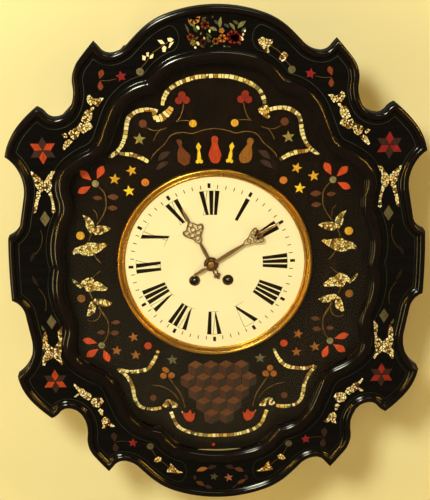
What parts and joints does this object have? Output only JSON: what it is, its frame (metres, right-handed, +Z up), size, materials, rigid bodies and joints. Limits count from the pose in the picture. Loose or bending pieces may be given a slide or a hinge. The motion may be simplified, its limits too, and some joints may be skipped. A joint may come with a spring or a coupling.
{
  "type": "wall clock",
  "caption": "Wall clock with a wavy inlaid ebonised front that opens on hinges, an octagonal box, an enamel dial and a striking pendulum movement.",
  "frame": {"origin": "centre of the back of the box, on the wall, level with the middle of the dial", "axes": "+Z up, -Y out of the dial towards the room, +X to the viewer's right"},
  "size_m": [0.542, 0.116, 0.6736],
  "materials": {
    "ebonised_wood": "polished black",
    "plain_wood": "planed pine",
    "inlaid_panel": "polished dark veneer with inlays",
    "steel": "blued and plain steel",
    "gilt_brass": "polished gilt",
    "brass": "lacquered brass",
    "bronzed_brass": "bronzed",
    "enamel": "fired white enamel on copper",
    "glass": "flat pane"
  },
  "bodies": {
    "case": {"backboard": "plain_wood", "top_board": "ebonised_wood", "bottom_board": "ebonised_wood", "left_side_board": "ebonised_wood", "right_side_board": "ebonised_wood", "corner_boards": "ebonised_wood", "panel_rails": "plain_wood", "inner_panel": "inlaid_panel", "hanger_plate": "steel", "case_hinge_leaves": "brass", "hinge_pins": "brass", "hook_screw": "brass", "bezel": "gilt_brass", "dial": "enamel", "winding_grommets": "bronzed_brass", "movement_brackets": "brass", "front_plate": "brass", "back_plate": "brass", "plate_pillars": "brass", "pillar_nuts": "steel", "pendulum_cock": "brass", "gong_stand": "steel", "gong": "steel"},
    "door": {"frieze_frame": "ebonised_wood", "rim_moulding": "ebonised_wood", "inner_moulding": "ebonised_wood", "door_glass": "glass", "glass_beads": "ebonised_wood", "door_hinge_leaves": "brass", "latch_eye": "brass"},
    "hook": {"latch_hook": "brass"},
    "minute": {"centre_wheel": "brass", "cannon_pinion": "brass", "minute_hand": "bronzed_brass", "hand_nut": "brass"},
    "minute_work": {"minute_wheel": "brass"},
    "hour": {"hour_wheel": "brass", "hour_hand": "bronzed_brass"},
    "intermediate": {"intermediate_wheel": "brass"},
    "going_barrel": {"going_barrel": "brass"},
    "third": {"third_wheel": "brass"},
    "escape": {"escape_wheel": "brass"},
    "anchor": {"anchor_and_crutch": "steel"},
    "pendulum": {"suspension_spring": "steel", "pendulum_rod": "steel", "pendulum_bob": "brass", "rating_nut": "brass"},
    "going_arbor": {"going_barrel_arbor": "steel"},
    "going_click": {"going_click": "steel"},
    "lifting": {"pin_wheel": "brass"},
    "strike_second": {"strike_second_wheel": "brass", "count_wheel": "brass"},
    "strike_barrel": {"strike_barrel": "brass"},
    "locking": {"locking_wheel": "brass"},
    "fly": {"fly": "brass"},
    "strike_arbor": {"strike_barrel_arbor": "steel"},
    "strike_click": {"strike_click": "steel"},
    "hammer": {"hammer": "steel"}
  },
  "joints": [
    {"name": "door_hinge", "type": "hinge", "parent": "case", "child": "door", "pos_m": [0.21, -0.0875, 0], "axis": [0, 0, 1], "range_deg": [0, 90]},
    {"name": "hook_swing", "type": "hinge", "parent": "case", "child": "hook", "pos_m": [-0.208, -0.056, 0], "axis": [1, 0, 0], "range_deg": [0, 270]},
    {"name": "minute_turn", "type": "hinge", "parent": "case", "child": "minute", "pos_m": [-0.0085, -0.0665, 0], "axis": [0, 1, 0], "continuous": true},
    {"name": "minute_wheel_turn", "type": "hinge", "parent": "case", "child": "minute_work", "pos_m": [-0.01756, -0.0665, -0.00423], "axis": [0, 1, 0], "continuous": true},
    {"name": "hour_turn", "type": "hinge", "parent": "case", "child": "hour", "pos_m": [-0.0085, -0.0665, 0], "axis": [0, 1, 0], "continuous": true},
    {"name": "intermediate_turn", "type": "hinge", "parent": "case", "child": "intermediate", "pos_m": [0.00815, -0.0665, -0.00225], "axis": [0, 1, 0], "continuous": true},
    {"name": "going_barrel_turn", "type": "hinge", "parent": "case", "child": "going_barrel", "pos_m": [0.0134, -0.0665, -0.0232], "axis": [0, 1, 0], "continuous": true},
    {"name": "third_turn", "type": "hinge", "parent": "case", "child": "third", "pos_m": [-0.0007, -0.0665, 0.01351], "axis": [0, 1, 0], "continuous": true},
    {"name": "escape_turn", "type": "hinge", "parent": "case", "child": "escape", "pos_m": [-0.0085, -0.0665, 0.02416], "axis": [0, 1, 0], "continuous": true},
    {"name": "pendulum_swing", "type": "hinge", "parent": "case", "child": "pendulum", "pos_m": [-0.0085, -0.0665, 0.03516], "axis": [0, 1, 0], "range_deg": [-4, 4]},
    {"name": "anchor_rock", "type": "hinge", "parent": "case", "child": "anchor", "pos_m": [-0.0085, -0.0665, 0.03516], "axis": [0, 1, 0], "range_deg": [-4, 4]},
    {"name": "going_wind", "type": "hinge", "parent": "case", "child": "going_arbor", "pos_m": [0.0134, -0.0665, -0.0232], "axis": [0, 1, 0], "continuous": true},
    {"name": "going_click_lift", "type": "hinge", "parent": "case", "child": "going_click", "pos_m": [0.0266, -0.0665, -0.0296], "axis": [0, -1, 0], "range_deg": [0, 12], "stiffness_Nm_per_rad": 0.002},
    {"name": "pin_wheel_turn", "type": "hinge", "parent": "case", "child": "lifting", "pos_m": [-0.02939, -0.0665, 0.01165], "axis": [0, 1, 0], "continuous": true},
    {"name": "strike_second_turn", "type": "hinge", "parent": "case", "child": "strike_second", "pos_m": [-0.03779, -0.0665, -0.0029], "axis": [0, 1, 0], "continuous": true},
    {"name": "strike_barrel_turn", "type": "hinge", "parent": "case", "child": "strike_barrel", "pos_m": [-0.0304, -0.0665, -0.0232], "axis": [0, 1, 0], "continuous": true},
    {"name": "locking_turn", "type": "hinge", "parent": "case", "child": "locking", "pos_m": [-0.02576, -0.0665, 0.02517], "axis": [0, 1, 0], "continuous": true},
    {"name": "fly_turn", "type": "hinge", "parent": "case", "child": "fly", "pos_m": [-0.02036, -0.0665, 0.03452], "axis": [0, 1, 0], "continuous": true},
    {"name": "strike_wind", "type": "hinge", "parent": "case", "child": "strike_arbor", "pos_m": [-0.0304, -0.0665, -0.0232], "axis": [0, 1, 0], "continuous": true},
    {"name": "strike_click_lift", "type": "hinge", "parent": "case", "child": "strike_click", "pos_m": [-0.0436, -0.0665, -0.0296], "axis": [0, 1, 0], "range_deg": [0, 12], "stiffness_Nm_per_rad": 0.002},
    {"name": "hammer_lift", "type": "hinge", "parent": "case", "child": "hammer", "pos_m": [-0.045, -0.0665, 0.017], "axis": [0, 1, 0], "range_deg": [0, 8]}
  ],
  "couplings": [
    {"joint": "minute_wheel_turn", "follows": "minute_turn", "ratio": -0.33333},
    {"joint": "hour_turn", "follows": "minute_turn", "ratio": 0.083333},
    {"joint": "intermediate_turn", "follows": "minute_turn", "ratio": -0.14286},
    {"joint": "going_barrel_turn", "follows": "minute_turn", "ratio": 0.020408},
    {"joint": "third_turn", "follows": "minute_turn", "ratio": -12},
    {"joint": "escape_turn", "follows": "minute_turn", "ratio": 120},
    {"joint": "anchor_rock", "follows": "pendulum_swing", "ratio": 1},
    {"joint": "strike_second_turn", "follows": "pin_wheel_turn", "ratio": -0.16667},
    {"joint": "strike_barrel_turn", "follows": "pin_wheel_turn", "ratio": 0.02381},
    {"joint": "locking_turn", "follows": "pin_wheel_turn", "ratio": -9},
    {"joint": "fly_turn", "follows": "pin_wheel_turn", "ratio": 72}
  ]
}
